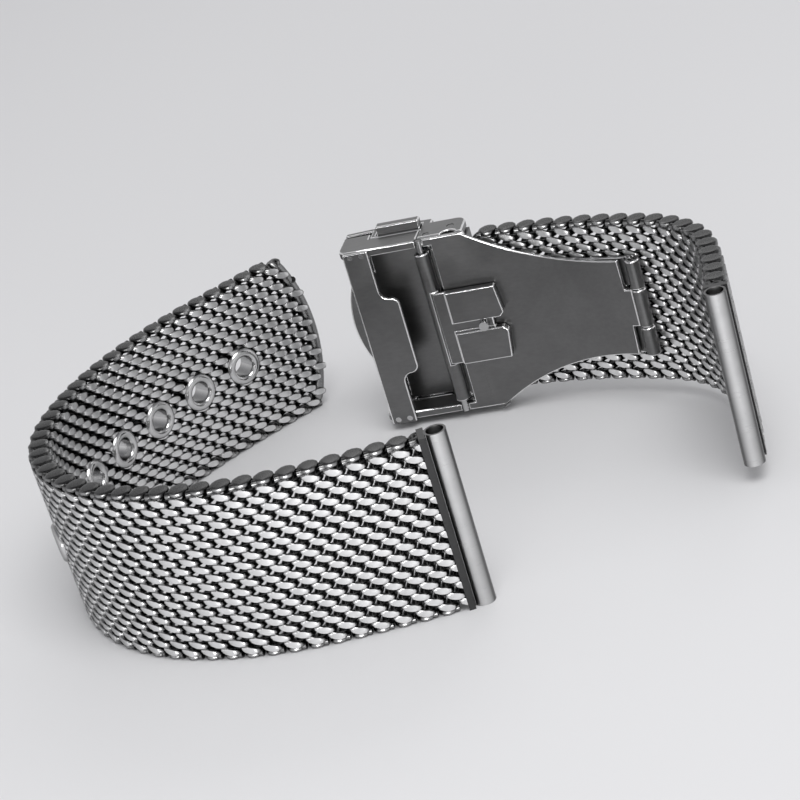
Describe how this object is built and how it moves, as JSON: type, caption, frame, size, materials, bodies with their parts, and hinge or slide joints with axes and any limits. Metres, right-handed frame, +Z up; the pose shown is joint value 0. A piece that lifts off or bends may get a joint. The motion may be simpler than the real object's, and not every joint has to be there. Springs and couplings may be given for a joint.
{
  "type": "milanese mesh watch bracelet",
  "caption": "Woven wire watch bracelet in two halves: a perforated tail with eyelets, and a shorter half with a sprung fold-over clasp, standing on their edges.",
  "frame": {"origin": "the axis of the long half's end tube, at the table that both halves stand on", "axes": "+Z up along the end tubes, across the width of the strap; -X along the long half where it leaves its tube; +Y towards the clasp"},
  "size_m": [0.0772, 0.0616, 0.0242],
  "materials": {
    "mesh_wire": "satin drawn wire with crowns ground flat and bright",
    "eyelet_steel": "polished",
    "spring_wire": "drawn spring wire",
    "pin_steel": "turned and polished",
    "tube_steel": "satin, brushed along the tube",
    "clasp_steel": "satin faces with polished edges"
  },
  "bodies": {
    "long_1": {"long_mesh_1": "mesh_wire", "long_end_tube": "tube_steel"},
    "long_2": {"long_mesh_2": "mesh_wire"},
    "long_3": {"long_mesh_3": "mesh_wire"},
    "long_4": {"long_mesh_4": "mesh_wire", "eyelets_4": "eyelet_steel"},
    "long_5": {"long_mesh_5": "mesh_wire", "eyelets_5": "eyelet_steel"},
    "long_6": {"long_mesh_6": "mesh_wire", "eyelets_6": "eyelet_steel"},
    "long_7": {"long_mesh_7": "mesh_wire", "eyelet_7": "eyelet_steel"},
    "short_1": {"short_mesh_1": "mesh_wire", "short_end_tube": "tube_steel"},
    "short_2": {"short_mesh_2": "mesh_wire"},
    "short_3": {"short_mesh_3": "mesh_wire", "clasp_end_tube": "tube_steel"},
    "clasp_cover": {"cover": "clasp_steel", "spring_housing": "clasp_steel", "cover_pin": "pin_steel", "clasp_bar": "pin_steel", "clasp_bar_spring": "spring_wire", "button_spring_low": "spring_wire", "button_spring_high": "spring_wire"},
    "outer_blade": {"outer_blade": "clasp_steel", "fold_pin": "pin_steel"},
    "inner_blade": {"inner_blade": "clasp_steel", "keeper_plate": "clasp_steel", "keeper_rivets": "pin_steel", "tang_pin": "pin_steel"},
    "tang": {"tang_plate": "clasp_steel", "tang_stud": "pin_steel"},
    "button_low": {"button_low": "clasp_steel"},
    "button_high": {"button_high": "clasp_steel"},
    "bar_tip_low": {"clasp_bar_tip_low": "pin_steel"},
    "bar_tip_high": {"clasp_bar_tip_high": "pin_steel"}
  },
  "joints": [
    {"name": "long_flex_1", "type": "hinge", "parent": "long_1", "child": "long_2", "pos_m": [-0.0154, 0.00114, 0], "axis": [0, 0, -1], "range_deg": [-12, 3]},
    {"name": "long_flex_2", "type": "hinge", "parent": "long_2", "child": "long_3", "pos_m": [-0.02985, 0.00626, 0], "axis": [0, 0, -1], "range_deg": [-12, 4]},
    {"name": "long_flex_3", "type": "hinge", "parent": "long_3", "child": "long_4", "pos_m": [-0.03961, 0.01789, 0], "axis": [0, 0, -1], "range_deg": [-15, 6]},
    {"name": "long_flex_4", "type": "hinge", "parent": "long_4", "child": "long_5", "pos_m": [-0.0399, 0.03129, 0], "axis": [0, 0, -1], "range_deg": [-15, 10]},
    {"name": "long_flex_5", "type": "hinge", "parent": "long_5", "child": "long_6", "pos_m": [-0.033, 0.04299, 0], "axis": [0, 0, -1], "range_deg": [-15, 15]},
    {"name": "long_flex_6", "type": "hinge", "parent": "long_6", "child": "long_7", "pos_m": [-0.02259, 0.0518, 0], "axis": [0, 0, -1], "range_deg": [-15, 20]},
    {"name": "halves_apart", "type": "slide", "parent": "long_1", "child": "short_1", "axis": [1, 0, 0], "range_m": [0, 0.06]},
    {"name": "short_flex_1", "type": "hinge", "parent": "short_1", "child": "short_2", "pos_m": [0.03325, 0.02019, 0], "axis": [0, 0, 1], "range_deg": [-15, 8]},
    {"name": "short_flex_2", "type": "hinge", "parent": "short_2", "child": "short_3", "pos_m": [0.02866, 0.03186, 0], "axis": [0, 0, 1], "range_deg": [-15, 8]},
    {"name": "clasp_swing", "type": "hinge", "parent": "short_3", "child": "clasp_cover", "pos_m": [0.00887, 0.04324, 0], "axis": [0, 0, -1], "range_deg": [0, 15]},
    {"name": "blade_fold", "type": "hinge", "parent": "outer_blade", "child": "inner_blade", "pos_m": [0.02644, 0.03082, 0], "axis": [0, 0, 1], "range_deg": [0, 100]},
    {"name": "cover_fold", "type": "hinge", "parent": "clasp_cover", "child": "outer_blade", "pos_m": [0.00591, 0.04287, 0], "axis": [0, 0, -1], "range_deg": [0, 50]},
    {"name": "tang_lift", "type": "hinge", "parent": "inner_blade", "child": "tang", "pos_m": [0.00477, 0.04177, 0], "axis": [0, 0, -1], "range_deg": [0, 75]},
    {"name": "press_button_low", "type": "slide", "parent": "clasp_cover", "child": "button_low", "axis": [0, 0, 1], "range_m": [0, 0.0007], "stiffness_N_per_m": 1500},
    {"name": "press_button_high", "type": "slide", "parent": "clasp_cover", "child": "button_high", "axis": [0, 0, -1], "range_m": [0, 0.0007], "stiffness_N_per_m": 1500},
    {"name": "bar_tip_low_in", "type": "slide", "parent": "clasp_cover", "child": "bar_tip_low", "axis": [0, 0, 1], "range_m": [0, 0.001], "stiffness_N_per_m": 1500},
    {"name": "bar_tip_high_in", "type": "slide", "parent": "clasp_cover", "child": "bar_tip_high", "axis": [0, 0, -1], "range_m": [0, 0.001], "stiffness_N_per_m": 1500}
  ],
  "couplings": [
    {"joint": "cover_fold", "follows": "blade_fold", "ratio": 0.5}
  ]
}
